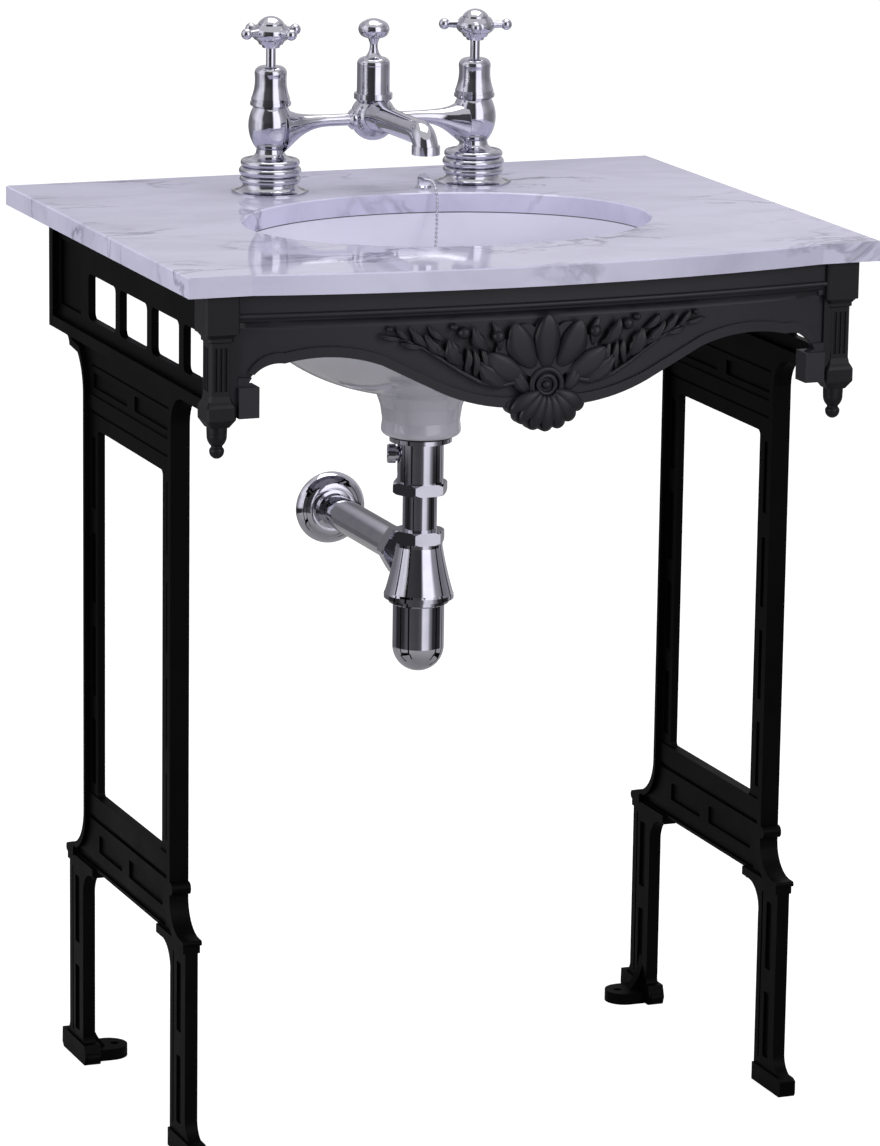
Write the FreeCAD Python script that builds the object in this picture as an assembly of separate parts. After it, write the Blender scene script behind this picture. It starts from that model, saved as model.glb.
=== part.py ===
import FreeCAD, Part
import math
import os
from FreeCAD import Matrix, Vector

# Console washstand: a bow-fronted marble slab on two cast side frames and a cast
# apron, with an undermounted oval basin, a bridge mixer tap and a bottle trap.
# Drawn with y = 0 at the slab's straight front corners and z = 0 on the floor;
# finish() moves every piece so that the origin lies under the middle of the whole.

# ---- driving dimensions, millimetres ----
WIDTH = 650.0
DEPTH = 520.0          # slab, straight part
BOW = 30.0             # how far the slab's front swells beyond its corners
BOW_END = 268.0        # half width of the swelling
SLAB_TOP = 816.0
SLAB_T = 18.0
SLAB_UNDER = SLAB_TOP - SLAB_T

CUT_A = 190.0          # oval cut-out, half axes
CUT_B = 145.0
CUT_Y = 225.0
BOWL_DEPTH = 143.0     # inside, below the slab
BOWL_WALL = 11.0
BOWL_FLANGE = 22.0
CLIP_ANGLES = (40, 140, 180, 0)    # clips round the basin's flange, degrees
CLIP_SCREW = 40.0

FRAME_X = 290.0        # side frames, centre planes
WEB = 7.0
RIM = 18.0
LEG = 12.0
MEMBER = 10.0
RECESS = 2.4
PANEL_LOW = 692.0
FRONT_FACE = 123.0     # front upright's front
REAR_FACE = 370.0      # rear upright's back
OPEN_FRONT = 160.0
OPEN_REAR = 343.0
OPEN_LOW = 269.0
OPEN_TOP = 616.0
MEMBER_LOW = 198.0
WINDOWS = ((37.0, 105.0), (117.5, 191.5), (204.0, 280.0), (292.0, 370.0))
BLIND = (391.5, 451.0)   # sunk panel in line with the windows
WINDOW_Z = (715.0, 757.0)

LUG_HOLE_R = 4.0       # floor screw
LUG_OUT = 30.0
LUG_Y = 396.0

APRON_Y = 14.0         # apron's front face at its ends
APRON_BOW = 24.0
APRON_END = 276.5      # where the apron meets the posts
APRON_T = 10.0

POST_X = 292.0
POST_Y = 21.5
BOLT_R = 3.0
BOLT_AT = (29.0, 782.0)
BOLT_END = 303.0
TAB_T = 6.0            # apron's tabs against the posts
APRON_R = (300.0 ** 2 + APRON_BOW ** 2) / (2 * APRON_BOW)
APRON_AXIS_Y = APRON_Y - APRON_BOW + APRON_R
ROSETTE_Z = 707.5
# the apron's lower edge, right half, from the notch over the bracket to the shell
EDGE_RIGHT = [(258, 716), (267, 720.5), (257, 732, 236, 736.5), (193, 740.5, 150, 731.5),
              (106, 709.5), (72, 695.5, 36, 688.6)]
HEAD = 15.5            # half sizes of the posts
SHAFT = 10.0

WASTE_Y = 284.0
SIDE_CAP_Z = 587.5
SIDE_CAP_WAY = Vector(-math.cos(math.radians(20)), math.sin(math.radians(20)), 0)
TRAP_PIPE_R = 16.0
OUTLET_Z = 488.0

TAP_X = 101.5          # half the distance between the pillars
TAP_Y = 416.0
TAP_ARM_UP = 64.0      # arms' height above the slab
ARM_R = 5.6
# an arm's swelling, as (distance out, height above the slab, radius)
ARM_SWELL = ((43.0, TAP_ARM_UP, ARM_R), (55.0, 63.6, 6.3), (65.0, 62.3, 8.2),
             (74.0, 60.3, 11.4), (82.0, 58.4, 15.8), (90.5, 57.0, 21.0))
SHANK_R = 10.5         # taps' threaded shanks through the slab
SPIGOT_R = 9.5         # plain ends that the supplies push on to
SPOUT_REACH = 135.0
SPOUT_BEND = 16.0
SPOUT_Z = SLAB_TOP + 68.0
MOUTH_Z = SPOUT_Z - SPOUT_BEND - 2.0
SPOKE_BALL = 29.0        # cross-head's balls, from its middle
SPOKE_TURN = 20.0        # degrees
SPINDLE_R = 4.5
RUNNING = 0.05         # radial clearance round a spindle

STAY_X = 44.0
STAY_Y = 397.0
CHAIN_R = 1.6
PLUG_RING_Z = 665.0
RING_R = 5.5
# corner points of the chain's way, from the stay to the plug's ring
CHAIN_ROUTE = [(44, STAY_Y - 2.4, 823.5), (44, 383.5, 824.5), (43.5, 371, 825),
               (43, 360.5, 817.5), (42.5, 357.5, 801), (42, 358.5, 773),
               (40.5, 358, 738), (38.5, 356, 710), (35, 347.5, 690), (26.5, 334, 678),
               (15, 319, 671.5), (5, 304, 667.5), (0.6, WASTE_Y + 2 * RING_R + 1.4, 665.5)]

MIDDLE_Y = (DEPTH - BOW) / 2


# ---- drawing helpers ----
def outline(steps, to_space):
    """Closed wire. A step is (a, b) for a straight run or (am, bm, a, b) for an arc."""
    edges = []
    here = steps[0]
    for step in list(steps[1:]) + [steps[0]]:
        end = tuple(step[-2:])
        if end == tuple(here):
            continue
        if len(step) == 2:
            edge = Part.LineSegment(to_space(*here), to_space(*end))
        else:
            edge = Part.Arc(to_space(*here), to_space(*step[:2]), to_space(*end))
        edges.append(edge.toShape())
        here = end
    return Part.Wire(edges)


def plate_x(steps, x0, x1):
    face = Part.Face(outline(steps, lambda y, z: Vector(x0, y, z)))
    return face.extrude(Vector(x1 - x0, 0, 0))


def plate_y(steps, y0, y1):
    face = Part.Face(outline(steps, lambda x, z: Vector(x, y0, z)))
    return face.extrude(Vector(0, y1 - y0, 0))


def plate_z(steps, z0, z1):
    face = Part.Face(outline(steps, lambda x, y: Vector(x, y, z0)))
    return face.extrude(Vector(0, 0, z1 - z0))


def turned(steps, x=0.0, y=0.0, z=0.0, axis=Vector(0, 0, 1), angle=360.0):
    """Solid of revolution. Steps are (radius, height); the axis closes the outline."""
    face = Part.Face(outline(steps, lambda r, h: Vector(r, 0, h)))
    solid = face.revolve(Vector(0, 0, 0), Vector(0, 0, 1), angle)
    turn = FreeCAD.Rotation(Vector(0, 0, 1), axis)
    solid.Placement = FreeCAD.Placement(Vector(x, y, z), turn)
    return solid


def crown(r, z, rise):
    """Arc of a sphere centred on the axis, from (r, z) to the axis at z + rise."""
    big = (r * r + rise * rise) / (2 * abs(rise))
    way = math.copysign(1, rise)
    centre = z + rise - way * big
    half = math.acos(way * (z - centre) / big) / 2
    return (big * math.sin(half), centre + way * big * math.cos(half), 0, z + rise)


def rod(radius, start, end):
    run = end - start
    return Part.makeCylinder(radius, run.Length, start, run)


def ring(outer, inner, length, centre, axis=Vector(0, 0, 1)):
    hole = Part.makeCylinder(inner, length, centre, axis)
    return Part.makeCylinder(outer, length, centre, axis).cut(hole)


def hexagon(across, length, centre, axis=Vector(0, 0, 1)):
    """Six-sided bar with its corners taken off by a cone at both ends."""
    corner = across / math.sqrt(3)
    points = []
    for i in range(7):
        a = math.radians(60 * i)
        points.append(Vector(corner * math.cos(a), corner * math.sin(a), 0))
    bar = Part.Face(Part.makePolygon(points)).extrude(Vector(0, 0, length))
    soft = (corner - across / 2) * 0.6
    half = across / 2 + 0.35 * (corner - across / 2)
    dome = turned([(0, 0), (half, 0), (corner, soft), (corner, length - soft),
                   (half, length), (0, length)])
    bar = bar.common(dome)
    bar.Placement = FreeCAD.Placement(centre, FreeCAD.Rotation(Vector(0, 0, 1), axis))
    return bar


def joined(shapes):
    return shapes[0].multiFuse(shapes[1:]).removeSplitter()


def mirrored(shape):
    return shape.mirror(Vector(0, 0, 0), Vector(1, 0, 0))


def moved(shape, x, y, z):
    copy = shape.copy()
    copy.translate(Vector(x, y, z))
    return copy


def rounded_box(y0, y1, z0, z1, r, x0, x1):
    """Bar along x whose four long edges are rounded."""
    k = r * (1 - math.sqrt(0.5))
    steps = [(y0 + r, z0), (y1 - r, z0), (y1 - k, z0 + k, y1, z0 + r), (y1, z1 - r),
             (y1 - k, z1 - k, y1 - r, z1), (y0 + r, z1), (y0 + k, z1 - k, y0, z1 - r),
             (y0, z0 + r), (y0 + k, z0 + k, y0 + r, z0)]
    return plate_x(steps, x0, x1)


# ---- slab ----
def slab_outline(inset=0.0):
    """Plan of the slab: three straight sides and a front that swells in one arc."""
    half = WIDTH / 2 - inset
    front = inset
    return [(-BOW_END, front), (0, -BOW + inset, BOW_END, front), (half, front),
            (half, DEPTH - inset), (-half, DEPTH - inset), (-half, front)]


def oval(a, b, y, z):
    return Part.Wire([Part.Ellipse(Vector(0, y, z), a, b).toShape()])


def oval_prism(a, b, y, z0, z1):
    return Part.Face(oval(a, b, y, z0)).extrude(Vector(0, 0, z1 - z0))


def marble_top():
    slab = plate_z(slab_outline(), SLAB_UNDER, SLAB_TOP)
    slab = slab.cut(oval_prism(CUT_A, CUT_B, CUT_Y, SLAB_UNDER - 1, SLAB_TOP + 1))
    for x in (-TAP_X, TAP_X):
        slab = slab.cut(Part.makeCylinder(14, SLAB_T + 2, Vector(x, TAP_Y, SLAB_UNDER - 1)))
    slab = slab.cut(Part.makeCylinder(3.5, SLAB_T + 2, Vector(STAY_X, STAY_Y, SLAB_UNDER - 1)))
    arris = [e for e in slab.Edges
             if abs(e.BoundBox.ZMin - SLAB_TOP) < 0.01 and e.BoundBox.ZLength < 0.01
             and e.BoundBox.XLength + e.BoundBox.YLength > 60]
    return slab.makeChamfer(1.2, arris)


# ---- basin ----
def leaning_bowl(a, b, depth):
    """Lower half of an ellipsoid whose centre drifts back to the waste as it goes down."""
    half = turned([(0, -1), (math.sqrt(0.5), -math.sqrt(0.5), 1, 0), (0, 0)])
    lean = (WASTE_Y - CUT_Y) / depth
    squash = Matrix(a, 0, 0, 0,
                    0, b, -lean * depth, CUT_Y,
                    0, 0, depth, SLAB_UNDER,
                    0, 0, 0, 1)
    return half.transformGeometry(squash)


def basin_bowl():
    outer = leaning_bowl(CUT_A + BOWL_WALL, CUT_B + BOWL_WALL, BOWL_DEPTH + BOWL_WALL)
    inner = leaning_bowl(CUT_A, CUT_B, BOWL_DEPTH)
    flange = oval_prism(CUT_A + BOWL_FLANGE, CUT_B + BOWL_FLANGE, CUT_Y,
                        SLAB_UNDER - 11, SLAB_UNDER - 1)
    boss = turned([(0, 606), (31, 606), (35.3, 607.7, 37, 612), (36, 621),
                   (38, 634), (42, 645), (48, 656), (0, 656)], 0, WASTE_Y)
    throat = turned([(0, 600), (22.5, 600), (22.5, 650.3), (33, 652.3), (33, 670), (0, 670)],
                    0, WASTE_Y)
    slit = oval_prism(CUT_A + 40, CUT_B + 40, CUT_Y, SLAB_UNDER - 1, SLAB_UNDER + 5)
    return joined([outer, flange, boss]).cut(inner).cut(throat).cut(slit)


def basin_sealant():
    bed = oval_prism(CUT_A + BOWL_FLANGE, CUT_B + BOWL_FLANGE, CUT_Y, SLAB_UNDER - 1, SLAB_UNDER)
    return bed.cut(oval_prism(CUT_A, CUT_B, CUT_Y, SLAB_UNDER - 2, SLAB_UNDER + 1))


def clip_spot(degrees, out):
    a = math.radians(degrees)
    return Vector((CUT_A + out) * math.cos(a), CUT_Y + (CUT_B + out) * math.sin(a), 0)


def basin_clips():
    """Bent straps that press the basin's flange up against the slab."""
    clips = []
    for degrees in CLIP_ANGLES:
        z = SLAB_UNDER
        strap = plate_y([(17, z - 14), (35, z - 14), (35, z - 3), (45, z - 3), (45, z), (32, z),
                         (32, z - 11), (17, z - 11)], -8, 8)
        strap = strap.cut(Part.makeCylinder(2.6, 20, Vector(CLIP_SCREW, 0, z - 10)))
        spot = clip_spot(degrees, 0)
        strap.rotate(Vector(0, 0, 0), Vector(0, 0, 1), degrees)
        strap.translate(spot)
        clips.append(strap)
    return Part.makeCompound(clips)


def clip_screws():
    screws = []
    for degrees in CLIP_ANGLES:
        z = SLAB_UNDER - 3
        screw = turned([(0, z - 4), (3.5, z - 4), (4.8, z - 2), (4.8, z), (2.5, z), (2.5, z + 3),
                        (0, z + 3)])
        a = math.radians(degrees)
        spot = clip_spot(degrees, 0) + Vector(math.cos(a), math.sin(a), 0) * CLIP_SCREW
        screws.append(moved(screw, spot.x, spot.y, 0))
    return Part.makeCompound(screws)


# ---- side frames ----
def both_faces(cutter, half):
    """A pocket drawn from x = 0 outwards, sunk RECESS deep into both faces of a plate."""
    depth = half - RECESS
    return [cutter(depth, half + 20), cutter(-half - 20, -depth)]


def side_frame():
    """Frame about x = 0, both faces alike, without the lug on its rear foot."""
    web = plate_x([(20, PANEL_LOW), (94, PANEL_LOW),
                   (114.3, 683.8, FRONT_FACE, 663), (FRONT_FACE, OPEN_LOW - 6),
                   (REAR_FACE, OPEN_LOW - 6), (REAR_FACE, 644.5),
                   (375.5, 668, 386, 681.3), (410, 684),
                   (413, 690, 421.6, PANEL_LOW), (470.5, PANEL_LOW), (470.5, SLAB_UNDER),
                   (20, SLAB_UNDER)], -WEB / 2, WEB / 2)
    member = plate_x([(FRONT_FACE, OPEN_LOW), (REAR_FACE, OPEN_LOW), (REAR_FACE, 250),
                      (379, 225, 404, 211), (420, 206), (420, MEMBER_LOW), (88, MEMBER_LOW),
                      (88, 203), (93, 203), (114.2, 211.8, FRONT_FACE, 233)],
                     -MEMBER / 2, MEMBER / 2)
    front_rim = plate_x([(95, PANEL_LOW), (114.8, 683.8, FRONT_FACE, 664), (FRONT_FACE, 248),
                         (115.5, 242.5, FRONT_FACE, 237), (FRONT_FACE, 233),
                         (114.2, 211.8, 93, 203), (88, 203), (85.5, 200.5, 88, MEMBER_LOW),
                         (112, MEMBER_LOW), (127, 212, 131, 233), (131, 664),
                         (122, 688, 99, 700), (95, 700)], -RIM / 2, RIM / 2)
    rear_rim = plate_x([(REAR_FACE, 250), (REAR_FACE, 644.5), (375.5, 668, 386, 681.3),
                        (410, 684), (413, 690, 421.6, PANEL_LOW), (421.6, 700), (410, 697),
                        (403, 690), (382, 687), (370.5, 670, 365.5, 644.5), (365.5, 250),
                        (375, 220, 402, 206), (402, MEMBER_LOW), (420, MEMBER_LOW),
                        (422.5, 202, 420, 206), (404, 211), (379, 225, REAR_FACE, 250)],
                       -RIM / 2, RIM / 2)
    panel_rims = [plate_x([(20, PANEL_LOW), (470.5, PANEL_LOW), (470.5, 702.5), (20, 702.5)],
                          -RIM / 2, RIM / 2),
                  plate_x([(460, PANEL_LOW), (470.5, PANEL_LOW), (470.5, SLAB_UNDER),
                           (460, SLAB_UNDER)], -RIM / 2, RIM / 2),
                  plate_x([(37, 789), (470.5, 789), (470.5, SLAB_UNDER), (37, SLAB_UNDER)],
                          -RIM / 2, RIM / 2)]
    ledge = plate_x([(FRONT_FACE, 634), (REAR_FACE, 634), (REAR_FACE, 647), (FRONT_FACE, 647)],
                    -MEMBER / 2, MEMBER / 2)
    rear_leg = plate_x([(381, 200), (421, 200), (421, 30), (425, 22, 438, 19), (438.7, 4),
                        (434.5, 0), (372, 0), (366.5, 5, 370, 12), (378.5, 17, 381, 28),
                        (381, 162), (374.4, 182, 353, 189), (347, 190), (347, 200)],
                       -LEG / 2, LEG / 2)
    front_leg = plate_x([(88, 200), (163, 200), (163, 190), (157, 189),
                         (135.6, 182, 129.4, 162), (129.4, 0), (69, 0), (67, 3), (67, 15),
                         (72, 17), (84, 24, 88, 36)], -LEG / 2, LEG / 2)
    heels = [plate_x([(371, 0), (434.5, 0), (438.7, 4), (438, 19), (372, 19), (368, 8)], -8, 8),
             plate_x([(69, 0), (129.4, 0), (129.4, 17), (72, 17), (67, 15), (67, 3)], -8, 8),
             plate_x([(88, 191), (163, 191), (163, 199), (88, 199)], -8, 8),
             plate_x([(347, 191), (421, 191), (421, 199), (347, 199)], -8, 8)]
    frame = joined([web, member, front_rim, rear_rim, ledge, rear_leg, front_leg]
                   + panel_rims + heels)

    cuts = [rounded_box(OPEN_FRONT, OPEN_REAR, OPEN_LOW, OPEN_TOP, 5, -20, 20)]
    for y0, y1 in WINDOWS:
        cuts.append(rounded_box(y0, y1, WINDOW_Z[0], WINDOW_Z[1], 6, -20, 20))
    cuts += both_faces(lambda a, b: rounded_box(*BLIND, WINDOW_Z[0], 776, 3, a, b), WEB / 2)
    for z0, z1 in ((541, 608), (452, 518), (364, 430), (280, 342)):
        cuts += both_faces(lambda a, b: rounded_box(349, 359.5, z0, z1, 2, a, b), WEB / 2)
        cuts += both_faces(lambda a, b: rounded_box(142, 149.5, z0, z1, 2, a, b), WEB / 2)
    for z0, z1 in ((114, 179), (28, 91.5)):
        cuts += both_faces(lambda a, b: rounded_box(391.5, 404, z0, z1, 2, a, b), LEG / 2)
        cuts += both_faces(lambda a, b: rounded_box(99.5, 111, z0, z1, 2, a, b), LEG / 2)
    for y0, y1 in ((259, 355), (138, 238)):
        cuts += both_faces(lambda a, b: rounded_box(y0, y1, 654, 668, 1.5, a, b), WEB / 2)
    for y0, y1 in ((268, 335), (153, 248)):
        cuts += both_faces(lambda a, b: rounded_box(y0, y1, 218, 235, 2, a, b), MEMBER / 2)
    cuts += both_faces(lambda a, b: rounded_box(144, 401, 201, 208, 2, a, b), MEMBER / 2)
    cuts += both_faces(lambda a, b: rounded_box(134, 362, 245.5, 250, 1, a, b), MEMBER / 2)
    cuts.append(rod(BOLT_R, Vector(-20, *BOLT_AT), Vector(20, *BOLT_AT)))
    for y, z0, z1 in ((410, 24, 186), (119, 24, 186)):
        cuts += both_faces(lambda a, b: rounded_box(y, y + 2.6, z0, z1, 1, a, b), LEG / 2)
    for y0, y1, z in ((130, 359, 673.5), (134, 362, 630)):
        cuts += both_faces(lambda a, b: rounded_box(y0, y1, z, z + 2.2, 1, a, b),
                           WEB / 2 + 0.8)
    for cutter in cuts:
        frame = frame.cut(cutter)
    return frame


def floor_lug():
    """Rounded lug on the inner side of a rear foot, with a coved gusset."""
    tab = plate_z([(-5, 378), (-24, 378), (-42, 396, -24, 414), (-5, 414)], 0, 11)
    gusset = plate_y([(-5, 10), (-20, 10), (-9.3, 25.6, -5, 44)], 391, 401)
    return joined([tab, gusset])


def right_side_frame():
    frame = joined([side_frame(), floor_lug()])
    frame = frame.cut(Part.makeCylinder(LUG_HOLE_R, 30, Vector(-LUG_OUT, LUG_Y, -5)))
    return moved(frame, FRAME_X, 0, 0)


# ---- apron and corner posts ----
def bowed(section):
    """Band that follows the apron's bow. Steps are (forward of the fascia, height)."""
    steps = []
    for step in section:
        if len(step) == 2:
            steps.append((APRON_R + step[0], step[1]))
        else:
            steps.append((APRON_R + step[0], step[1], APRON_R + step[2], step[3]))
    sweep = math.degrees(math.asin((APRON_END + 4) / APRON_R))
    face = Part.Face(outline(steps, lambda r, z: Vector(0, APRON_AXIS_Y - r, z)))
    band = face.revolve(Vector(0, APRON_AXIS_Y, 0), Vector(0, 0, 1), 2 * sweep)
    band.rotate(Vector(0, APRON_AXIS_Y, 0), Vector(0, 0, 1), -sweep)
    return band


def reversed_steps(steps):
    """The same path walked from its last point back to its first."""
    back = [tuple(steps[-1][-2:])]
    for i in range(len(steps) - 1, 0, -1):
        start = tuple(steps[i - 1][-2:])
        back.append(tuple(steps[i][:-2]) + start)
    return back


def flipped(steps):
    """Mirror image of a path across the middle of the apron."""
    return [tuple(-v if i % 2 == 0 else v for i, v in enumerate(step)) for step in steps]


def fan(radius, lobe, first, last, count):
    """Half of a scalloped disc about the rosette, lobes spaced evenly between two angles."""
    steps = [(0, ROSETTE_Z)]
    for i in range(count + 1):
        a = math.radians(first + (last - first) * i / count)
        end = (radius * math.cos(a), ROSETTE_Z + radius * math.sin(a))
        if i:
            m = math.radians(first + (last - first) * (i - 0.5) / count)
            mid = ((radius + lobe) * math.cos(m), ROSETTE_Z + (radius + lobe) * math.sin(m))
            steps.append(mid + end)
        else:
            steps.append(end)
    return steps


def front_apron():
    """Fascia, bead and cove over a sunk field, a rib along the scrolled lower edge, and
    the shell at the middle."""
    thick = bowed([(0, SLAB_UNDER), (0, 781), (3, 778.5, 0, 776), (-0.5, 774),
                   (-3.5, 771, -4, 766), (-4, 655), (-APRON_T, 655), (-APRON_T, SLAB_UNDER)])
    rib = bowed([(-1, 760), (-1, 655), (-APRON_T, 655), (-APRON_T, 760)])
    proud = bowed([(0.5, 770), (0.5, 655), (-APRON_T, 655), (-APRON_T, 770)])

    edge = EDGE_RIGHT + reversed_steps(flipped(EDGE_RIGHT))
    view = plate_y(edge + [(-APRON_END, 716), (-APRON_END, SLAB_UNDER),
                           (APRON_END, SLAB_UNDER), (APRON_END, 716)], -60, 60)
    rib_view = view.cut(moved(view, 0, 0, 9))
    shell_view = plate_y(fan(38.5, 3.2, -158, -22, 7), -60, 60)
    palm_view = plate_y(fan(52, 7, 28, 152, 5), -60, 60)
    apron = joined([thick.common(view), rib.common(rib_view), proud.common(shell_view),
                    proud.common(palm_view)])
    boss = turned([(0, -3), (16, -3), (16, 3.5), (15, 7, 12, 6.5), (10.6, 3.2), (9.4, 3.2),
                   (8.6, 7, 6.4, 6.2), (5.4, 3.8), (4.2, 3.8), crown(4.2, 3.8, 4.2)],
                  0, APRON_Y - APRON_BOW + 3.5, ROSETTE_Z, Vector(0, -1, 0))
    fittings = [boss]
    for side in (-1, 1):
        fittings.append(plate_z([(side * 258, 8), (side * APRON_END, 8), (side * APRON_END, 29),
                                 (side * 258, 29)], 690, 717))
        fittings.append(plate_x([(12, 768), (37, 768), (37, 796), (12, 796)],
                                side * APRON_END, side * (APRON_END - TAB_T)))
    apron = joined([apron] + fittings)
    for side in (-1, 1):
        apron = apron.cut(rod(BOLT_R, Vector(side * 260, *BOLT_AT), Vector(side * 290, *BOLT_AT)))
    return apron


def square(half, soft, z):
    """Square outline with its corners taken off."""
    points = []
    for i in range(4):
        a = math.radians(90 * i)
        for p, q in ((half, -half + soft), (half, half - soft)):
            points.append(Vector(p * math.cos(a) - q * math.sin(a),
                                 p * math.sin(a) + q * math.cos(a), z))
    return Part.makePolygon(points + points[:1])


def square_stem(sections):
    """Square turning: straight between sections of (half width, corner, height)."""
    return Part.makeLoft([square(*section) for section in sections], True, True)


def right_corner_post(side_frame_beside):
    """Square head under the slab's corner, a fluted shaft and a small plinth block, let
    on to the side frame's front edge."""
    x0 = APRON_END - POST_X
    head = square_stem([(HEAD, 1.5, 764), (HEAD, 1.5, SLAB_UNDER)])
    stem = square_stem([(9, 2, 682), (13.5, 2, 689), (13.5, 2, 700), (12.5, 2, 702.5),
                        (11, 2, 705), (SHAFT, 2, 710), (SHAFT, 2, 756), (11.5, 2, 757),
                        (11.5, 2, 760), (13, 2, 762), (HEAD - 1, 2, 764)])
    wing = plate_z([(x0, -9.5), (0, -9.5), (0, 0.5), (x0, 0.5)], 691, 764)
    post = joined([head, stem, wing])
    for way in (Vector(0, -SHAFT, 0), Vector(SHAFT, 0, 0)):
        for off in (-4.5, 0, 4.5):
            spot = way + Vector(0, 0, 714) + Vector(-way.y, way.x, 0) * (off / SHAFT)
            post = post.cut(Part.makeCylinder(1.4, 38, spot))
    post = moved(post, POST_X, POST_Y, 0).cut(side_frame_beside)
    return post.cut(rod(BOLT_R, Vector(260, *BOLT_AT), Vector(BOLT_END, *BOLT_AT)))


def right_drop_finial():
    drop = turned([(0, 654), (4.6, 656, 6.5, 660.5), (6, 663, 5, 664), (5, 665.5),
                   (7.6, 669, 8.8, 675), (9, 679, 9, 682), (0, 682)])
    return moved(drop, POST_X, POST_Y, 0)


def right_apron_bolt():
    """Bolt through the apron's tab and the post into the side frame."""
    head_x = APRON_END - TAB_T
    shank = rod(BOLT_R, Vector(head_x, *BOLT_AT), Vector(BOLT_END, *BOLT_AT))
    head = hexagon(10, 4.5, Vector(head_x - 4.5, *BOLT_AT), Vector(1, 0, 0))
    return joined([shank, head])


# ---- waste and bottle trap ----
def waste_body():
    """Flanged outlet with a taper seat for the plug and a tail through the basin's boss."""
    body = turned([(17, 562), (21.5, 562), (21.5, 650.5), (31.5, 652.5), (31.5, 653.6),
                   (29, 655.2, 24, 655.2), (20, 651), (18, 640), (17, 632)], 0, WASTE_Y)
    neck = Part.makeCylinder(7, 25, Vector(0, WASTE_Y, SIDE_CAP_Z), SIDE_CAP_WAY)
    bore = Part.makeCylinder(17, 30, Vector(0, WASTE_Y, 572))
    return joined([body, neck.cut(bore)])


def waste_washer():
    return ring(28, 21.5, 2, Vector(0, WASTE_Y, 604))


def waste_backnut():
    return ring(29, 21.5, 4, Vector(0, WASTE_Y, 600))


def waste_side_cap():
    """Screwed blanking cap on the waste's side boss."""
    start = Vector(0, WASTE_Y, SIDE_CAP_Z) + SIDE_CAP_WAY * 23
    cap = turned([(0, 0), (9, 0), (9, 6.5), (8.3, 7.6, 7, 8), (0, 8)], start.x, start.y,
                 start.z, SIDE_CAP_WAY)
    return cap.cut(Part.makeCylinder(7, 2, start, SIDE_CAP_WAY))


def trap_inlet_nut():
    nut = hexagon(47, 11, Vector(0, WASTE_Y, 551))
    return nut.cut(Part.makeCylinder(TRAP_PIPE_R, 30, Vector(0, WASTE_Y, 540)))


def trap_inlet_tube():
    """Tube from under the waste down into the cup, where its open end stands in water."""
    return ring(TRAP_PIPE_R, TRAP_PIPE_R - 1.5, 562 - 420, Vector(0, WASTE_Y, 420))


def trap_top_nut():
    nut = hexagon(43, 12, Vector(0, WASTE_Y, 504.4))
    return nut.cut(Part.makeCylinder(TRAP_PIPE_R, 30, Vector(0, WASTE_Y, 495)))


def trap_body():
    """Conical head of the trap, hollow, with the outlet's neck at its back."""
    shell = turned([(TRAP_PIPE_R, 504.4), (21.5, 504.4), (21.5, 501), (24, 488, 31.5, 458),
                    (32.5, 456), (32.5, 452), (21, 452), (21, 470), (18, 490),
                    (TRAP_PIPE_R, 498)], 0, WASTE_Y)
    neck = Part.makeCylinder(16.4, 22, Vector(0, WASTE_Y + 12, OUTLET_Z), Vector(0, 1, 0))
    room = turned([(0, 452), (21, 452), (21, 470), (18, 490), (16, 498), (16, 510),
                   (0, 510)], 0, WASTE_Y)
    bore = Part.makeCylinder(14.5, 40, Vector(0, WASTE_Y + 10, OUTLET_Z), Vector(0, 1, 0))
    return shell.fuse(neck.cut(room)).cut(bore.cut(turned([(0, 440), (16, 440), (16, 520),
                                                           (0, 520)], 0, WASTE_Y)))


def trap_cup():
    """Bottle that unscrews from the head for cleaning."""
    return turned([(24, 406), (24, 446), (28, 448), (28, 452), (21.5, 452), (21.5, 406),
                   crown(21.5, 406, -21.5), (0, 382), crown(24, 406, -24)[:2] + (24, 406)],
                  0, WASTE_Y)


def outlet_nut():
    nut = hexagon(42, 15, Vector(0, WASTE_Y + 34, OUTLET_Z), Vector(0, 1, 0))
    return nut.cut(Part.makeCylinder(TRAP_PIPE_R, 40, Vector(0, WASTE_Y + 30, OUTLET_Z),
                                     Vector(0, 1, 0)))


def outlet_pipe():
    start = WASTE_Y + 34
    return ring(TRAP_PIPE_R, TRAP_PIPE_R - 1.5, DEPTH - start, Vector(0, start, OUTLET_Z),
                Vector(0, 1, 0))


def wall_flange():
    """Domed rose where the outlet enters the wall."""
    return turned([(TRAP_PIPE_R, 0), (35, 0), (35, 1.5), (31, 8, 19, 12), (TRAP_PIPE_R, 12.5)],
                  0, DEPTH, OUTLET_Z, Vector(0, -1, 0))


# ---- bridge mixer tap ----
def pillar_outside(tail):
    """Flange, three stacked beads, neck and bulb of a pillar, over the steps of its tail."""
    up = SLAB_TOP
    return turned(tail + [(36, up), (36, up + 1.5), (28, up + 3, 25, up + 8),
                          (28.5, up + 11.7, 25, up + 15.5), (29, up + 19.7, 25, up + 24),
                          (27.5, up + 27.5, 24, up + 31), (17, up + 32.5, 13.5, up + 36),
                          (12.7, up + 40), (20.5, up + 62, 16, up + 79), (19, up + 81),
                          (19, up + 84), (0, up + 84)])


def left_pillar():
    """The pillar, bored for the valve, with its threaded shank and a plain spigot below."""
    up = SLAB_TOP
    body = pillar_outside([(0, up - 60), (SPIGOT_R, up - 60), (SPIGOT_R, up - 32),
                           (SHANK_R, up - 31), (SHANK_R, up)])
    bore = turned([(0, up - 61), (7, up - 61), (7, up + 52), (9, up + 52), (9, up + 85),
                   (0, up + 85)])
    return moved(body.cut(bore), -TAP_X, TAP_Y, 0)


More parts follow.
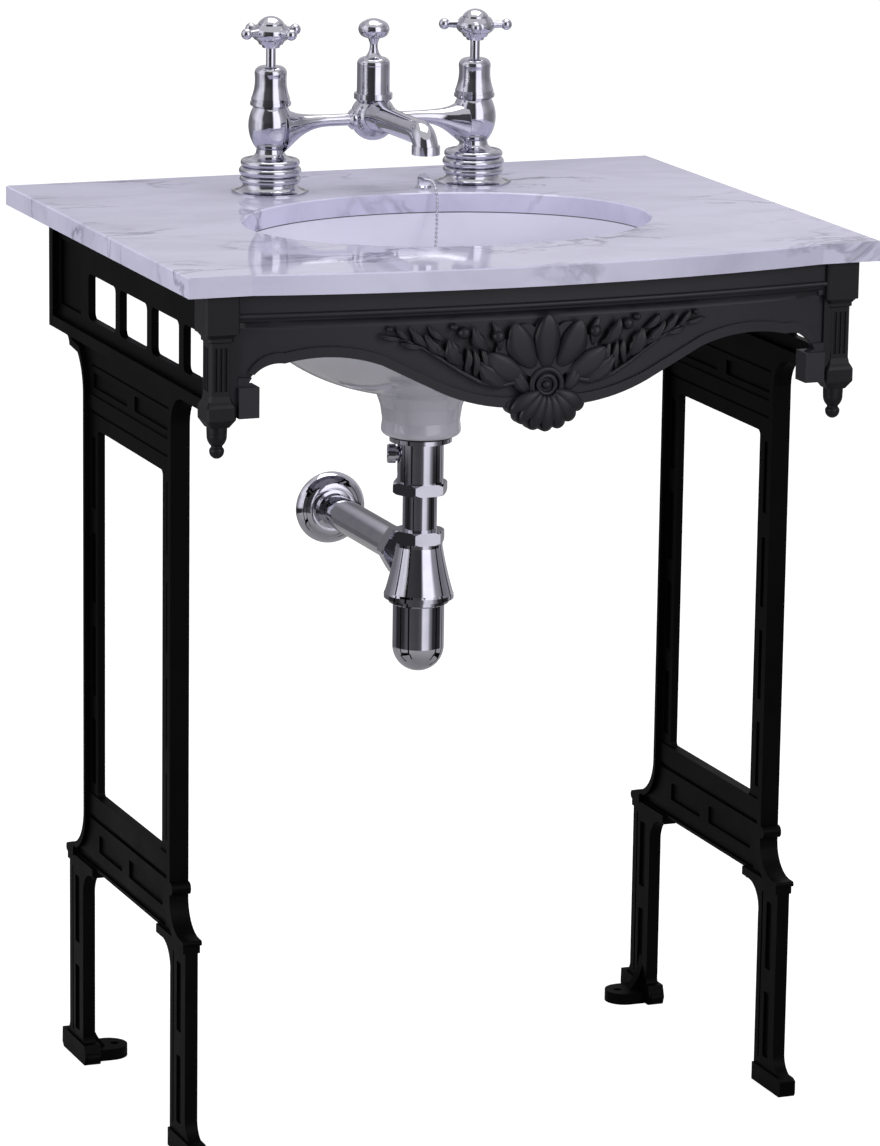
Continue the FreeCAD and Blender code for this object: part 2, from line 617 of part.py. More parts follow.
def left_valve():
    """Quarter-turn cartridge inside the pillar, slotted for the spindle."""
    body = turned([(0, SLAB_TOP + 52), (9, SLAB_TOP + 52), (9, SLAB_TOP + 88),
                   (0, SLAB_TOP + 88)])
    return moved(body, -TAP_X, TAP_Y, 0)


def left_bonnet():
    up = SLAB_TOP + 84
    shell = turned([(9, up), (18, up), (18, up + 3), (15.4, up + 12, 15, up + 26),
                    (13.5, up + 30.5, 9, up + 33), (SPINDLE_R + RUNNING, up + 33),
                    (SPINDLE_R + RUNNING, up + 20), (9, up + 20)])
    return moved(shell, -TAP_X, TAP_Y, 0)


def left_spindle():
    up = SLAB_TOP
    stem = turned([(0, up + 88), (SPINDLE_R, up + 88), (SPINDLE_R, up + 140), (0, up + 140)])
    return moved(stem, -TAP_X, TAP_Y, 0)


def left_handle():
    """Cross-head: a turned hub with four tapered spokes that end in balls."""
    up = SLAB_TOP
    hub = turned([(0, up + 140), (9, up + 140), (11, up + 137), (13, up + 140.5),
                  (17.5, up + 144.5, 17, up + 151), (14, up + 155), (0, up + 155)])
    collar = turned([(SPINDLE_R, up + 134), (8, up + 134), (9, up + 137), (8, up + 141),
                     (SPINDLE_R, up + 141)])
    parts = [hub, collar]
    for i in range(4):
        a = math.radians(90 * i + SPOKE_TURN)
        way = Vector(math.cos(a), math.sin(a), 0)
        base = Vector(0, 0, up + 148.5)
        parts.append(Part.makeCone(4.2, 2.7, SPOKE_BALL - 13, base + way * 13, way))
        parts.append(Part.makeSphere(5.2, base + way * SPOKE_BALL))
    return moved(joined(parts), -TAP_X, TAP_Y, 0)


def left_index_cap():
    up = SLAB_TOP + 155
    cap = turned([(0, up), (12, up), (12, up + 1.5), crown(12, up + 1.5, 6.5)])
    return moved(cap, -TAP_X, TAP_Y, 0)


def left_deck_gasket():
    return ring(24, SHANK_R, 2, Vector(-TAP_X, TAP_Y, SLAB_UNDER - 2))


def left_backnut():
    nut = hexagon(30, 9, Vector(-TAP_X, TAP_Y, SLAB_UNDER - 11))
    return nut.cut(Part.makeCylinder(SHANK_R, 20, Vector(-TAP_X, TAP_Y, SLAB_UNDER - 15)))


def flared_arm(side):
    """Bridge arm out from the hub, swelling and drooping into the pillar's neck."""
    rings = [Part.Circle(Vector(side * out, TAP_Y, SLAB_TOP + up), Vector(1, 0, 0), r)
             for out, up, r in ARM_SWELL]
    swell = Part.makeLoft([Part.Wire([ring.toShape()]) for ring in rings], True)
    straight = turned([(0, 0), (9.5, 0), (9.5, 21), (8.3, 22.5), (ARM_R, 25),
                       (ARM_R, ARM_SWELL[0][0]), (0, ARM_SWELL[0][0])],
                      0, TAP_Y, SLAB_TOP + TAP_ARM_UP, Vector(side, 0, 0))
    return joined([straight, swell])


def bridge_spout():
    """Ball hub with two flared arms and the fixed spout, cast in one."""
    up = SLAB_TOP
    hub = turned([(0, up + 88), (18, up + 88), (18, up + 83), (15, up + 81),
                  (20, up + 73, 21, up + 63), crown(21, up + 63, -19.3)], 0, TAP_Y)
    parts = [hub, flared_arm(-1), flared_arm(1)]
    tip_y = TAP_Y - SPOUT_REACH
    length = SPOUT_REACH - SPOUT_BEND
    beam = turned([(0, 0), (14.5, 0), (14.5, 18), (13, 24, 11.5, 34), (11.5, length),
                   (0, length)], 0, TAP_Y, SPOUT_Z, Vector(0, -1, 0))
    end = Vector(0, tip_y + SPOUT_BEND, SPOUT_Z)
    disc = Part.Face(Part.Wire([Part.Circle(end, Vector(0, -1, 0), 11.5).toShape()]))
    elbow = disc.revolve(end - Vector(0, 0, SPOUT_BEND), Vector(1, 0, 0), 90)
    mouth = Part.makeCylinder(13, 8, Vector(0, tip_y, MOUTH_Z))
    parts += [beam, elbow, mouth]
    spout = joined(parts)
    for side in (-1, 1):
        pillar = moved(pillar_outside([(0, up)]), side * TAP_X, TAP_Y, 0)
        spout = spout.cut(pillar)
    return spout.cut(Part.makeCylinder(10.5, 6, Vector(0, tip_y, MOUTH_Z - 1)))


def spout_aerator():
    """Flow straightener let into the spout's mouth."""
    tip_y = TAP_Y - SPOUT_REACH
    disc = Part.makeCylinder(10.5, 5, Vector(0, tip_y, MOUTH_Z))
    for i in range(6):
        a = math.radians(60 * i)
        spot = Vector(6.2 * math.cos(a), tip_y + 6.2 * math.sin(a), MOUTH_Z - 1)
        disc = disc.cut(Part.makeCylinder(1.6, 7, spot))
    return disc


def hub_bonnet():
    up = SLAB_TOP + 88
    return turned([(0, up), (15.6, up), (15.3, up + 5), (15.3, up + 26),
                   (14, up + 31, 8, up + 33.5), (0, up + 33.5)], 0, TAP_Y)


def hub_finial():
    up = SLAB_TOP + 121.5
    return turned([(0, up), (8, up), (4.4, up + 6, 3.8, up + 13), (5.5, up + 17.5),
                   (9, up + 18.5), (14.4, up + 27, 9, up + 33.5), crown(9, up + 33.5, 2.5)],
                  0, TAP_Y)


# ---- plug and chain ----
def chain_stay():
    """Rose with an upright eye, drawn down through the slab by a nut."""
    top = SLAB_TOP
    rose = turned([(0, top - SLAB_T - 9), (3.5, top - SLAB_T - 9), (3.5, top), (7.5, top),
                   (7.5, top + 1), (6, top + 2.2), (0, top + 2.2)], STAY_X, STAY_Y)
    eye = plate_y([(-5.3, top + 1), (5.3, top + 1), (5.3, top + 8), (0, top + 13.3, -5.3, top + 8)],
                  STAY_Y - 2, STAY_Y + 2)
    eye.translate(Vector(STAY_X, 0, 0))
    hole = Part.makeCylinder(1.2, 8, Vector(STAY_X, STAY_Y - 4, top + 7.5), Vector(0, 1, 0))
    return joined([rose, eye]).cut(hole)


def stay_nut():
    nut = hexagon(12, 4, Vector(STAY_X, STAY_Y, SLAB_UNDER - 4))
    return nut.cut(Part.makeCylinder(3.5, 10, Vector(STAY_X, STAY_Y, SLAB_UNDER - 7)))


def plug():
    """Tapered stopper with an eye on its back."""
    body = turned([(0, 641), (17.4, 641), (19.4, 651), (21.6, 655.5), (21.6, 657.2),
                   (14, 659, 4, 659.6), (3.2, 661), (3.2, PLUG_RING_Z + 2),
                   crown(3.2, PLUG_RING_Z + 2, 2)], 0, WASTE_Y)
    return body.cut(Part.makeTorus(RING_R, 1.2, Vector(0, WASTE_Y + RING_R, PLUG_RING_Z)))


def plug_ring():
    return Part.makeTorus(RING_R, 0.9, Vector(0, WASTE_Y + RING_R, PLUG_RING_Z))


def chain_path(points):
    """Straight runs joined by arcs, each as large as its two runs allow."""
    pts = [Vector(*p) for p in points]
    edges = []
    radii = []
    here = pts[0]
    for i in range(1, len(pts) - 1):
        before = pts[i] - pts[i - 1]
        after = pts[i + 1] - pts[i]
        turn = before.getAngle(after)
        cut = 0.45 * min(before.Length, after.Length)
        radius = cut / math.tan(turn / 2)
        a = pts[i] - before.normalize() * cut
        b = pts[i] + after.normalize() * cut
        inward = (b - pts[i]) + (a - pts[i])
        bulge = inward.normalize() * (radius / math.cos(turn / 2) - radius)
        edges.append(Part.LineSegment(here, a).toShape())
        edges.append(Part.Arc(a, pts[i] + bulge, b).toShape())
        radii.append(radius)
        here = b
    edges.append(Part.LineSegment(here, pts[-1]).toShape())
    return Part.Wire(edges), radii


def plug_chain():
    """Bead chain, plain here, from the stay's eye over the slab's edge to the plug's ring."""
    path, radii = chain_path(CHAIN_ROUTE)
    start = Vector(*CHAIN_ROUTE[0])
    way = (Vector(*CHAIN_ROUTE[1]) - start).normalize()
    section = Part.Wire([Part.Circle(start, way, CHAIN_R).toShape()])
    tube = path.makePipeShell([section], True, False)
    ratio = tube.Volume / (math.pi * CHAIN_R ** 2 * path.Length)
    print("chain: length %.1f, least radius %.1f, volume ratio %.4f"
          % (path.Length, min(radii), ratio))
    return tube


# ---- the whole ----
def finish(name, shape):
    piece = moved(shape, 0, -MIDDLE_Y, 0)
    if not piece.isValid():
        print("not valid:", name)
    piece.exportStep(os.path.join("parts", name + ".step"))


def finish_pair(left_name, right_name, right_shape):
    finish(right_name, right_shape)
    finish(left_name, mirrored(right_shape))


def main():
    os.makedirs("parts", exist_ok=True)
    finish("marble_top", marble_top())
    finish("basin_bowl", basin_bowl())
    finish("basin_sealant", basin_sealant())
    finish("basin_clips", basin_clips())
    finish("clip_screws", clip_screws())
    side_frame_right = right_side_frame()
    finish_pair("left_side_frame", "right_side_frame", side_frame_right)
    finish("front_apron", front_apron())
    finish_pair("left_corner_post", "right_corner_post", right_corner_post(side_frame_right))
    finish_pair("left_drop_finial", "right_drop_finial", right_drop_finial())
    finish_pair("left_apron_bolt", "right_apron_bolt", right_apron_bolt())
    finish("waste_body", waste_body())
    finish("waste_washer", waste_washer())
    finish("waste_backnut", waste_backnut())
    finish("waste_side_cap", waste_side_cap())
    finish("trap_inlet_nut", trap_inlet_nut())
    finish("trap_inlet_tube", trap_inlet_tube())
    finish("trap_top_nut", trap_top_nut())
    finish("trap_body", trap_body())
    finish("trap_cup", trap_cup())
    finish("outlet_nut", outlet_nut())
    finish("outlet_pipe", outlet_pipe())
    finish("wall_flange", wall_flange())
    finish_pair("cold_pillar", "hot_pillar", left_pillar())
    finish_pair("cold_valve", "hot_valve", left_valve())
    finish_pair("cold_bonnet", "hot_bonnet", left_bonnet())
    finish_pair("cold_spindle", "hot_spindle", left_spindle())
    finish_pair("cold_handle", "hot_handle", left_handle())
    finish_pair("cold_index_cap", "hot_index_cap", left_index_cap())
    finish_pair("cold_deck_gasket", "hot_deck_gasket", left_deck_gasket())
    finish_pair("cold_backnut", "hot_backnut", left_backnut())
    finish("bridge_spout", bridge_spout())
    finish("spout_aerator", spout_aerator())
    finish("hub_bonnet", hub_bonnet())
    finish("hub_finial", hub_finial())
    finish("chain_stay", chain_stay())
    finish("stay_nut", stay_nut())
    finish("plug", plug())
    finish("plug_ring", plug_ring())
    finish("plug_chain", plug_chain())


main()
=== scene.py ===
import math

import bmesh
import bpy
from mathutils import Matrix, Vector


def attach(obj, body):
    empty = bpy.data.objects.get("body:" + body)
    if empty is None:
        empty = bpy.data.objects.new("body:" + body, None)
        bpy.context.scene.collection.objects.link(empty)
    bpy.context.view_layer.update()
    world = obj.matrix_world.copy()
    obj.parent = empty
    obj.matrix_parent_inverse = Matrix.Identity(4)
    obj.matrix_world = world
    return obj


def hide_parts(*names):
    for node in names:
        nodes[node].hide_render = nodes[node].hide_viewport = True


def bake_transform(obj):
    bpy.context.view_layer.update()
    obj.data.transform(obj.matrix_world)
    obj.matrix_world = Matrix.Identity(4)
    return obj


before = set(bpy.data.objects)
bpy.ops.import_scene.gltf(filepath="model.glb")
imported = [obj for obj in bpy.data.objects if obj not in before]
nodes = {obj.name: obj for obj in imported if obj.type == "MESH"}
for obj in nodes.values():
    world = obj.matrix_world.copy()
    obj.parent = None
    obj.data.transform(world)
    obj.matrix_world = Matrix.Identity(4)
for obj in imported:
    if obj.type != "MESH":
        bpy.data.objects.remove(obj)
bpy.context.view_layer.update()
scene = bpy.context.scene

# ---- camera ----
# A long lens from the left of the washstand's front, a little above the slab and nearly
# five metres off, so that the frames stay almost upright in the picture.
camera_place = Vector((-1.838, -4.605, 1.630))
camera_turn = math.radians(-21.7)
camera_dip = math.radians(13.9)
camera_roll = math.radians(0.8)
camera_lens = 173.6         # millimetres, like the sensor's width
camera_sensor = 36.0
camera_shift = (0.0106, 0.0736)

camera = bpy.data.objects.new("camera", bpy.data.cameras.new("camera"))
scene.collection.objects.link(camera)
camera.data.lens = camera_lens
camera.data.sensor_width = camera_sensor
camera.data.shift_x, camera.data.shift_y = camera_shift
turn = (Matrix.Rotation(camera_turn, 4, "Z") @ Matrix.Rotation(math.pi / 2 - camera_dip, 4, "X")
        @ Matrix.Rotation(camera_roll, 4, "Z"))
camera.matrix_world = Matrix.Translation(camera_place) @ turn
scene.camera = camera

# ---- plug chain ----
# Chromed ball chain from the stay behind the basin, over the slab's edge and down the
# bowl to the plug's ring: hollow balls pinched on to short wires.
chain_route = [(0.044, 0.1496, 0.8235), (0.044, 0.1385, 0.8245), (0.0435, 0.126, 0.825),
               (0.043, 0.1155, 0.8175), (0.0425, 0.1125, 0.801), (0.042, 0.1135, 0.773),
               (0.0405, 0.113, 0.738), (0.0385, 0.111, 0.710), (0.035, 0.1025, 0.690),
               (0.0265, 0.089, 0.678), (0.015, 0.074, 0.6715), (0.005, 0.059, 0.6675),
               (0.0006, 0.0514, 0.6655)]
ball_size = 0.0032
ball_pitch = 0.0041
wire_radius = 0.0006


def shader_of(material):
    """The surface shader that a material has from the start."""
    return material.node_tree.nodes["Principled BSDF"]


def new_material(name):
    """A new material, its node tree and its surface shader."""
    material = bpy.data.materials.new(name)
    material.use_nodes = True
    return material, material.node_tree, shader_of(material)


def node(tree, kind, values=(), **settings):
    """A new node with its own settings, and with some of its inputs set."""
    made = tree.nodes.new(kind)
    for key, value in settings.items():
        setattr(made, key, value)
    for key, value in dict(values).items():
        made.inputs[key].default_value = value
    return made


def ramp(tree, low, high, low_value=0.0, high_value=1.0):
    """A node that carries low..high over to low_value..high_value and clamps there."""
    return node(tree, "ShaderNodeMapRange", {"From Min": low, "From Max": high,
                                             "To Min": low_value, "To Max": high_value})


def join(tree, *links):
    """Wires nodes up: each link is a node and its output, then a node and its input."""
    for source, output, target, entry in links:
        tree.links.new(source.outputs[output], target.inputs[entry])


def effect_group(name, colours, values=(), masks=()):
    """An empty node group that takes colours and values and gives a Colour and masks, with
    its two ends and the place on the object."""
    group = bpy.data.node_groups.new(name, "ShaderNodeTree")
    for entry in colours:
        group.interface.new_socket(entry, in_out="INPUT", socket_type="NodeSocketColor")
    for entry in values:
        group.interface.new_socket(entry, in_out="INPUT", socket_type="NodeSocketFloat")
    group.interface.new_socket("Colour", in_out="OUTPUT", socket_type="NodeSocketColor")
    for mask in masks:
        group.interface.new_socket(mask, in_out="OUTPUT", socket_type="NodeSocketFloat")
    into = group.nodes.new("NodeGroupInput")
    out = group.nodes.new("NodeGroupOutput")
    place = group.nodes.new("ShaderNodeTexCoord")
    return group, into, out, place


def handling_group():
    """Handling marks: soft patches in tone and roughness, and a very fine grain."""
    group, into, out, place = effect_group("handling_marks", ("Clean", "Dulled"),
                                           ("Patches", "Smooth", "Rough"),
                                           ("Roughness", "Grain"))
    patch = node(group, "ShaderNodeTexNoise", {"Detail": 4.0, "Roughness": 0.55})
    grain = node(group, "ShaderNodeTexNoise", {"Scale": 900.0, "Detail": 2.0})
    spread = ramp(group, 0.35, 0.68)
    tone = node(group, "ShaderNodeMix", data_type="RGBA")
    polish = node(group, "ShaderNodeMix", data_type="FLOAT")
    join(group,
         (place, "Object", patch, "Vector"),
         (place, "Object", grain, "Vector"),
         (into, "Patches", patch, "Scale"),
         (patch, "Fac", spread, "Value"),
         (spread, "Result", tone, "Factor"),
         (into, "Clean", tone, "A"),
         (into, "Dulled", tone, "B"),
         (spread, "Result", polish, "Factor"),
         (into, "Smooth", polish, "A"),
         (into, "Rough", polish, "B"),
         (tone, "Result", out, "Colour"),
         (polish, "Result", out, "Roughness"),
         (grain, "Fac", out, "Grain"))
    return group


handling_marks = handling_group()


def worn(tree, shader, patches, smooth, rough, grain):
    """Gives a finish the roughness and fine grain of the handling marks: patches is how many
    there are to a metre, and grain its depth. Returns their node."""
    marks = node(tree, "ShaderNodeGroup",
                 {"Patches": patches, "Smooth": smooth, "Rough": rough},
                 node_tree=handling_marks)
    relief = node(tree, "ShaderNodeBump", {"Strength": 1.0, "Distance": grain})
    join(tree,
         (marks, "Roughness", shader, "Roughness"),
         (marks, "Grain", relief, "Height"),
         (relief, "Normal", shader, "Normal"))
    return marks


def two_tone(name, clean, dulled, metal=0.0, **wear):
    """A finish that handling has dulled in patches."""
    material, tree, shader = new_material(name)
    marks = worn(tree, shader, **wear)
    marks.inputs["Clean"].default_value = (*clean, 1)
    marks.inputs["Dulled"].default_value = (*dulled, 1)
    join(tree, (marks, "Colour", shader, "Base Color"))
    shader.inputs["Metallic"].default_value = metal
    return material


def dress(parts, material):
    """Puts a material on pieces, or on CAD nodes by their names."""
    for part in parts:
        made = nodes[part] if isinstance(part, str) else part
        made.data.materials.clear()
        made.data.materials.append(material)


def piece(name, mesh, body="washstand", smooth=True):
    """An object at the origin from a finished mesh, riding on a body if it has one."""
    data = bpy.data.meshes.new(name)
    for face in mesh.faces:
        face.smooth = smooth
    mesh.to_mesh(data)
    mesh.free()
    made = bpy.data.objects.new(name, data)
    scene.collection.objects.link(made)
    if body:
        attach(made, body)
    return made


def points_along(route):
    """Close points along a smooth line that the route's points draw in."""
    line = bpy.data.objects.new("chain_line", bpy.data.curves.new("chain_line", "CURVE"))
    line.data.dimensions = "3D"
    line.data.resolution_u = 24
    spline = line.data.splines.new("NURBS")
    spline.points.add(len(route) - 1)
    for point, place in zip(spline.points, route):
        point.co = (*place, 1)
    spline.order_u = 3
    spline.use_endpoint_u = True
    scene.collection.objects.link(line)
    bpy.context.view_layer.update()
    points = [v.co.copy() for v in bpy.data.meshes.new_from_object(line).vertices]
    bpy.data.objects.remove(line)
    return points


chrome = two_tone("chrome_plate", clean=(0.60, 0.595, 0.655), dulled=(0.53, 0.525, 0.585),
                  metal=1.0, patches=45.0, smooth=0.045, rough=0.085, grain=0.000004)
chain_points = points_along(chain_route)

balls = bmesh.new()
to_next_ball = 0.0
last_ball = None
for here, after in zip(chain_points, chain_points[1:]):
    step = (after - here).length
    while to_next_ball <= step:
        spot = here.lerp(after, to_next_ball / step)
        bmesh.ops.create_icosphere(balls, subdivisions=2, radius=ball_size / 2,
                                   matrix=Matrix.Translation(spot))
        if last_ball is not None:
            way = spot - last_ball
            pose = (Matrix.Translation((spot + last_ball) / 2)
                    @ way.to_track_quat("Z", "Y").to_matrix().to_4x4())
            bmesh.ops.create_cone(balls, segments=6, radius1=wire_radius, radius2=wire_radius,
                                  depth=way.length, matrix=pose)
        last_ball = spot
        to_next_ball += ball_pitch
    to_next_ball -= step

ball_chain = piece("ball_chain", balls, body=None)
dress([ball_chain, "plug_ring", "chain_stay"], chrome)
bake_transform(ball_chain)
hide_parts("plug_chain")

# ---- marble slab ----
# One piece of polished white marble, 18 mm thick, sawn with a bowed front, with an oval cut
# through it whose edge is polished too. It lies on the side frames and the apron.
stone_white = (0.590, 0.575, 0.745, 1)
stone_cloud = (0.480, 0.468, 0.620, 1)
stone_vein = (0.190, 0.184, 0.270, 1)


def vein_group():
    """White marble: warped grey veins that come and go, over faint clouds."""
    group, into, out, place = effect_group("marble_veins", ("Stone", "Cloud", "Vein"))
    lie = node(group, "ShaderNodeMapping", {"Rotation": (0.3, 0.2, 0.9), "Scale": (1.0, 2.1, 1.4)})
    swirl = node(group, "ShaderNodeTexNoise", {"Scale": 4.0, "Detail": 3.0})
    centred = node(group, "ShaderNodeVectorMath", {1: (0.5, 0.5, 0.5)}, operation="SUBTRACT")
    push = node(group, "ShaderNodeVectorMath", {"Scale": 0.30}, operation="SCALE")
    warped = node(group, "ShaderNodeVectorMath", operation="ADD")
    seam = node(group, "ShaderNodeTexNoise", {"Scale": 3.4, "Detail": 6.0, "Roughness": 0.58})
    middle = node(group, "ShaderNodeMath", {1: 0.5}, operation="SUBTRACT")
    near = node(group, "ShaderNodeMath", operation="ABSOLUTE")
    line = ramp(group, 0.0, 0.022, 1.0, 0.0)
    breaks = node(group, "ShaderNodeTexNoise", {"Scale": 9.0, "Detail": 3.0})
    strength = ramp(group, 0.46, 0.66, 0.05, 1.0)
    vein = node(group, "ShaderNodeMath", operation="MULTIPLY")
    haze = node(group, "ShaderNodeTexNoise", {"Scale": 6.5, "Detail": 7.0, "Roughness": 0.62})
    cloud = ramp(group, 0.42, 0.74)
    clouded = node(group, "ShaderNodeMix", data_type="RGBA")
    veined = node(group, "ShaderNodeMix", data_type="RGBA")
    join(group,
         (place, "Object", lie, "Vector"),
         (lie, "Vector", swirl, "Vector"),
         (swirl, "Color", centred, 0),
         (centred, "Vector", push, 0),
         (push, "Vector", warped, 0),
         (lie, "Vector", warped, 1),
         (warped, "Vector", seam, "Vector"),
         (warped, "Vector", haze, "Vector"),
         (place, "Object", breaks, "Vector"),
         (seam, "Fac", middle, 0),
         (middle, "Value", near, 0),
         (near, "Value", line, "Value"),
         (breaks, "Fac", strength, "Value"),
         (line, "Result", vein, 0),
         (strength, "Result", vein, 1),
         (haze, "Fac", cloud, "Value"),
         (cloud, "Result", clouded, "Factor"),
         (into, "Stone", clouded, "A"),
         (into, "Cloud", clouded, "B"),
         (vein, "Value", veined, "Factor"),
         (clouded, "Result", veined, "A"),
         (into, "Vein", veined, "B"),
         (veined, "Result", out, "Colour"))
    return group


marble, marble_tree, marble_shader = new_material("polished_marble")
worn(marble_tree, marble_shader, patches=14.0, smooth=0.02, rough=0.05, grain=0.000001)
stone = node(marble_tree, "ShaderNodeGroup",
             {"Stone": stone_white, "Cloud": stone_cloud, "Vein": stone_vein},
             node_tree=vein_group())
join(marble_tree, (stone, "Colour", marble_shader, "Base Color"))
dress(["marble_top"], marble)

# ---- basin ----
# Oval undermount basin in glazed white vitreous china, held up against the slab by four
# zinc-plated clips with screws, and bedded in a thin bead of sealant that is painted
# near-black as the shadow in the joint.
china = two_tone("glazed_china", clean=(0.790, 0.778, 0.890), dulled=(0.750, 0.738, 0.850),
                 patches=7.0, smooth=0.06, rough=0.12, grain=0.000003)
shader_of(china).inputs["Coat Weight"].default_value = 0.5
shader_of(china).inputs["Coat Roughness"].default_value = 0.04
# Painted shade: the sealant is near-black to stand for the shadow in the joint.
sealant = two_tone("sealant_painted_shade", clean=(0.055, 0.052, 0.060), dulled=(0.090, 0.086, 0.095),
                   patches=60.0, smooth=0.45, rough=0.60, grain=0.00004)
zinc = two_tone("zinc_plate", clean=(0.50, 0.51, 0.53), dulled=(0.36, 0.37, 0.36),
                metal=1.0, patches=90.0, smooth=0.28, rough=0.45, grain=0.00001)
dress(["basin_bowl"], china)
dress(["basin_sealant"], sealant)
dress(["basin_clips", "clip_screws"], zinc)

# ---- side frames ----
# Two frames, each the other's mirror image, sand-cast in iron and painted satin black: a
# panel with lights over two uprights, a lower rail and arched legs, and a lug for a floor
# fixing at the rear foot.
def casting_group():
    """Painted casting: sandy unevenness under the paint, dulled in soft patches."""
    group, into, out, place = effect_group("painted_casting", ("Paint", "Dusty"),
                                           masks=("Roughness", "Skin"))
    patch = node(group, "ShaderNodeTexNoise", {"Scale": 16.0, "Detail": 5.0, "Roughness": 0.6})
    dust = ramp(group, 0.38, 0.72)
    sand = node(group, "ShaderNodeTexNoise", {"Scale": 420.0, "Detail": 3.0, "Roughness": 0.6})
    swell = node(group, "ShaderNodeTexNoise", {"Scale": 55.0, "Detail": 2.0})
    polish = ramp(group, 0.30, 0.75, 0.36, 0.52)
    tone = node(group, "ShaderNodeMix", data_type="RGBA")
    skin = node(group, "ShaderNodeMix", {"Factor": 0.6}, data_type="FLOAT")
    join(group,
         (place, "Object", patch, "Vector"),
         (place, "Object", sand, "Vector"),
         (place, "Object", swell, "Vector"),
         (patch, "Fac", dust, "Value"),
         (patch, "Fac", polish, "Value"),
         (dust, "Result", tone, "Factor"),
         (into, "Paint", tone, "A"),
         (into, "Dusty", tone, "B"),
         (sand, "Fac", skin, "A"),
         (swell, "Fac", skin, "B"),
         (tone, "Result", out, "Colour"),
         (polish, "Result", out, "Roughness"),
         (skin, "Result", out, "Skin"))
    return group


painted_casting = casting_group()


def satin_black(name, colour, dusty, shine, unevenness):
    """Satin black paint over a casting, in one shade of black."""
    material, tree, shader = new_material(name)
    cast = node(tree, "ShaderNodeGroup", {"Paint": (*colour, 1), "Dusty": (*dusty, 1)},
                node_tree=painted_casting)
    relief = node(tree, "ShaderNodeBump", {"Strength": 1.0, "Distance": unevenness})
    join(tree,
         (cast, "Colour", shader, "Base Color"),
         (cast, "Roughness", shader, "Roughness"),
         (cast, "Skin", relief, "Height"),
         (relief, "Normal", shader, "Normal"))
    shader.inputs["Specular IOR Level"].default_value = shine
    return material


# Painted shade: the darkest copy of the black paint that the apron and posts share.
frame_black_painted_shade = satin_black("frame_black_painted_shade", colour=(0.0014, 0.0014, 0.0015),
                          dusty=(0.0026, 0.0026, 0.0028), shine=0.03, unevenness=0.00010)
dress(["left_side_frame", "right_side_frame"], frame_black_painted_shade)

# ---- apron ----
# The bowed front rail, cast like the frames and painted with them: a plain fascia over a
# bead, a sunk field with raised foliage, a palmette and a rosette over a fluted shell. Its
# black is painted lighter than the frames', as painted light.
front_y = -0.259            # the apron's middle, at the front of its fascia
bow_radius = 1.887
rosette_z = 0.7075
field_sunk = 0.0042         # how far the field lies behind the fascia's front
shell_proud = 0.0010        # how far the shell stands before it
petal_rib = 0.2
stem_thick = 0.0030

flute_count = 7
fan_start = math.radians(-148)
fan_spread = math.radians(116)
flute_root = 0.009          # both from the rosette's middle
flute_tip = 0.040
flute_width = 0.0135
flute_height = 0.0042
flute_lift = -0.002

# The stem's points as x and z, from the rosette outwards.
stem_route = [(0.026, 0.712), (0.044, 0.708), (0.062, 0.713), (0.080, 0.723), (0.098, 0.735),
              (0.114, 0.745), (0.128, 0.752), (0.142, 0.756)]
# Each leaf's root and tip, its width and height, its tip's lift, its sweep and its lobes.
leaves = [((0.034, 0.708), (0.064, 0.730), 0.0150, 0.0052, 0.003, 0.003, 3),
          ((0.044, 0.738), (0.050, 0.765), 0.0080, 0.0040, 0.000, -0.003, 0),
          ((0.052, 0.740), (0.069, 0.762), 0.0110, 0.0052, 0.003, 0.004, 2),
          ((0.0575, 0.716), (0.060, 0.743), 0.0065, 0.0045, 0.000, -0.002, 0),
          ((0.0665, 0.717), (0.0675, 0.742), 0.0065, 0.0045, 0.000, -0.002, 0),
          ((0.0750, 0.721), (0.0735, 0.744), 0.0065, 0.0045, 0.000, -0.002, 0),
          ((0.078, 0.728), (0.091, 0.752), 0.0140, 0.0055, 0.003, 0.003, 3),
          ((0.090, 0.737), (0.113, 0.757), 0.0090, 0.0048, 0.002, 0.003, 2),
          ((0.093, 0.751), (0.109, 0.764), 0.0070, 0.0042, 0.000, 0.002, 0),
          ((0.108, 0.745), (0.126, 0.764), 0.0070, 0.0042, 0.001, 0.002, 2),
          ((0.114, 0.746), (0.134, 0.750), 0.0060, 0.0038, 0.000, 0.001, 0),
          ((0.126, 0.752), (0.139, 0.765), 0.0050, 0.0035, 0.000, 0.001, 0),
          ((0.134, 0.754), (0.154, 0.758), 0.0050, 0.0033, 0.000, 0.001, 0)]
# Each bud's x and z, its radius and its height.
buds = [(0.0455, 0.7525, 0.0060, 0.0062), (0.0770, 0.7570, 0.0055, 0.0055),
        (0.0860, 0.7625, 0.0035, 0.0045), (0.1010, 0.7430, 0.0040, 0.0045),
        (0.1440, 0.7630, 0.0028, 0.0035)]


def leaf(mesh, root, tip, width, height, lift=0.0, sweep=0.0, lobes=0, rib=0.35):
    """One cast leaf from root to tip, (x, z) in metres, swelling and closing to a point, with
    a channel down its middle, a lift of its tip and a sweep to one side."""
    fullest = 0.575             # of the way from root to tip
    lobe_depth = 0.16
    channel = 0.45              # its half width, of the leaf's
    run = Vector((tip[0] - root[0], 0, tip[1] - root[1]))
    ball = bmesh.ops.create_uvsphere(mesh, u_segments=16, v_segments=12, radius=1.0)["verts"]
    for v in ball:
        t = (v.co.z + 1) / 2
        full = 1.15 - 0.7 * abs(t - fullest)
        scallop = 1 + lobe_depth * math.cos(2 * math.pi * lobes * t) if lobes else 1.0
        side = v.co.x * width / 2 * full * scallop
        out = v.co.y * height
        if v.co.y < 0:
            out += rib * height * max(0.0, 1 - abs(v.co.x) / channel)
        v.co = Vector((side + sweep * math.sin(math.pi * t), out - lift * t * t,
                       run.length * t))
    lean = math.atan2(run.x, run.z)
    bmesh.ops.rotate(mesh, verts=ball, cent=(0, 0, 0), matrix=Matrix.Rotation(lean, 3, "Y"))
    bmesh.ops.translate(mesh, verts=ball, vec=(root[0], 0, root[1]))


